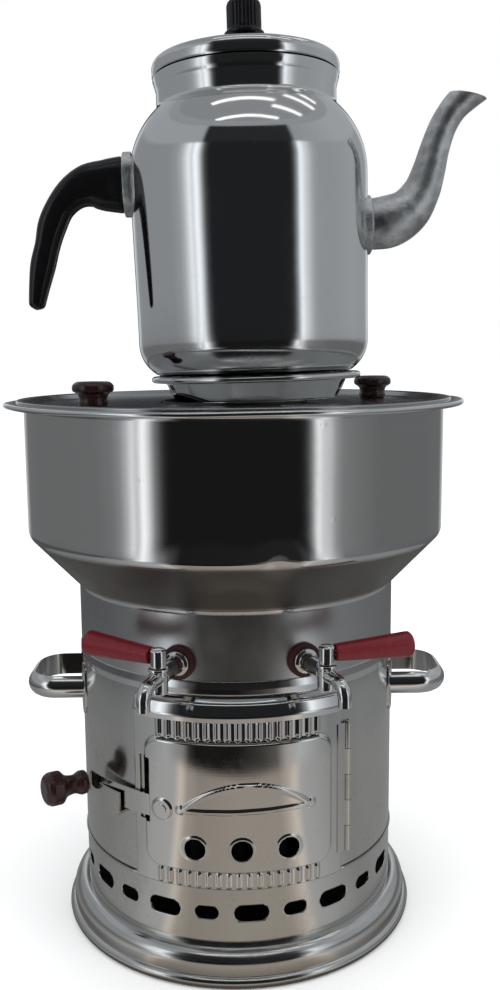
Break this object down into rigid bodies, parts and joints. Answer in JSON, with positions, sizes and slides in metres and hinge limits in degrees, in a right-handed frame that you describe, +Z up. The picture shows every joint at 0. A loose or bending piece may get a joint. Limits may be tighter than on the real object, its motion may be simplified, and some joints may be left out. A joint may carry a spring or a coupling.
{
  "type": "portable samovar",
  "caption": "Portable wood-fired samovar in polished sheet steel with a latched stove door, two red lever taps and a teapot on its flue.",
  "frame": {"origin": "on the stove's axis, on the plane that the base rests on", "axes": "+Z up along the stove's axis, -Y towards the side with the door and the taps, +X towards the teapot's spout"},
  "size_m": [0.2906, 0.2795, 0.5546],
  "materials": {
    "polished_steel": "mirror polished, lightly stained",
    "stove_steel": "satin, scuffed",
    "dark_steel": "sooty, matt",
    "chrome": "chrome plated",
    "cast_aluminium": "cast, satin",
    "black_plastic": "moulded, glossy",
    "red_plastic": "moulded, glossy",
    "red_rubber": "matt",
    "dark_wood": "varnished"
  },
  "bodies": {
    "stove": {"base_skirt": "stove_steel", "base_floor": "dark_steel", "vent_band": "stove_steel", "fire_grate": "dark_steel", "stove_shell": "stove_steel", "shell_top_strip": "stove_steel", "door_hood": "stove_steel", "left_side_handle": "chrome", "right_side_handle": "chrome", "latch_keeper": "stove_steel", "hinge_shell_leaf": "stove_steel", "hinge_pin": "stove_steel"},
    "door": {"door_panel": "stove_steel", "hinge_door_leaf": "stove_steel", "latch_rivet": "stove_steel"},
    "latch": {"latch_strap": "stove_steel", "latch_knob": "dark_wood"},
    "tank": {"tank_lower_wall": "polished_steel", "tank_cone": "polished_steel", "tank_bowl": "polished_steel", "tank_floor": "polished_steel", "flue_tube": "dark_steel", "left_tap_body": "chrome", "right_tap_body": "chrome", "left_tap_gasket": "red_rubber", "right_tap_gasket": "red_rubber", "left_tap_nut": "chrome", "right_tap_nut": "chrome"},
    "left_lever": {"left_lever_hub": "chrome", "left_lever_grip": "red_plastic"},
    "right_lever": {"right_lever_hub": "chrome", "right_lever_grip": "red_plastic"},
    "lid": {"tank_lid": "polished_steel", "front_lid_knob": "dark_wood", "rear_lid_knob": "dark_wood", "front_knob_screw": "polished_steel", "rear_knob_screw": "polished_steel"},
    "ring": {"pot_ring": "polished_steel"},
    "teapot": {"teapot_body": "polished_steel", "teapot_spout": "cast_aluminium", "teapot_handle": "black_plastic", "handle_bracket": "cast_aluminium"},
    "pot_lid": {"teapot_lid": "polished_steel", "teapot_lid_knob": "black_plastic", "lid_knob_screw": "polished_steel"}
  },
  "joints": [
    {"name": "tank_lift", "type": "slide", "parent": "stove", "child": "tank", "axis": [0, 0, 1], "range_m": [0, 0.06]},
    {"name": "door_hinge", "type": "hinge", "parent": "stove", "child": "door", "pos_m": [0.06251, -0.07664, 0.105], "axis": [0, 0, 1], "range_deg": [0, 120]},
    {"name": "latch_pivot", "type": "hinge", "parent": "door", "child": "latch", "pos_m": [-0.04201, -0.09009, 0.09916], "axis": [0.4226, 0.9063, 0], "range_deg": [0, 22]},
    {"name": "left_tap_lever", "type": "hinge", "parent": "tank", "child": "left_lever", "pos_m": [-0.0407, -0.11819, 0.19], "axis": [0, 0, 1], "range_deg": [0, 90]},
    {"name": "right_tap_lever", "type": "hinge", "parent": "tank", "child": "right_lever", "pos_m": [0.04683, -0.1159, 0.19], "axis": [0, 0, -1], "range_deg": [0, 90]},
    {"name": "lid_lift", "type": "slide", "parent": "tank", "child": "lid", "axis": [0, 0, 1], "range_m": [0, 0.03]},
    {"name": "ring_lift", "type": "slide", "parent": "lid", "child": "ring", "axis": [-0.0218, 0, 0.9998], "range_m": [0, 0.03]},
    {"name": "teapot_lift", "type": "slide", "parent": "ring", "child": "teapot", "axis": [-0.0218, 0, 0.9998], "range_m": [0, 0.03]},
    {"name": "pot_lid_lift", "type": "slide", "parent": "teapot", "child": "pot_lid", "axis": [-0.0218, 0, 0.9998], "range_m": [0, 0.03]}
  ]
}
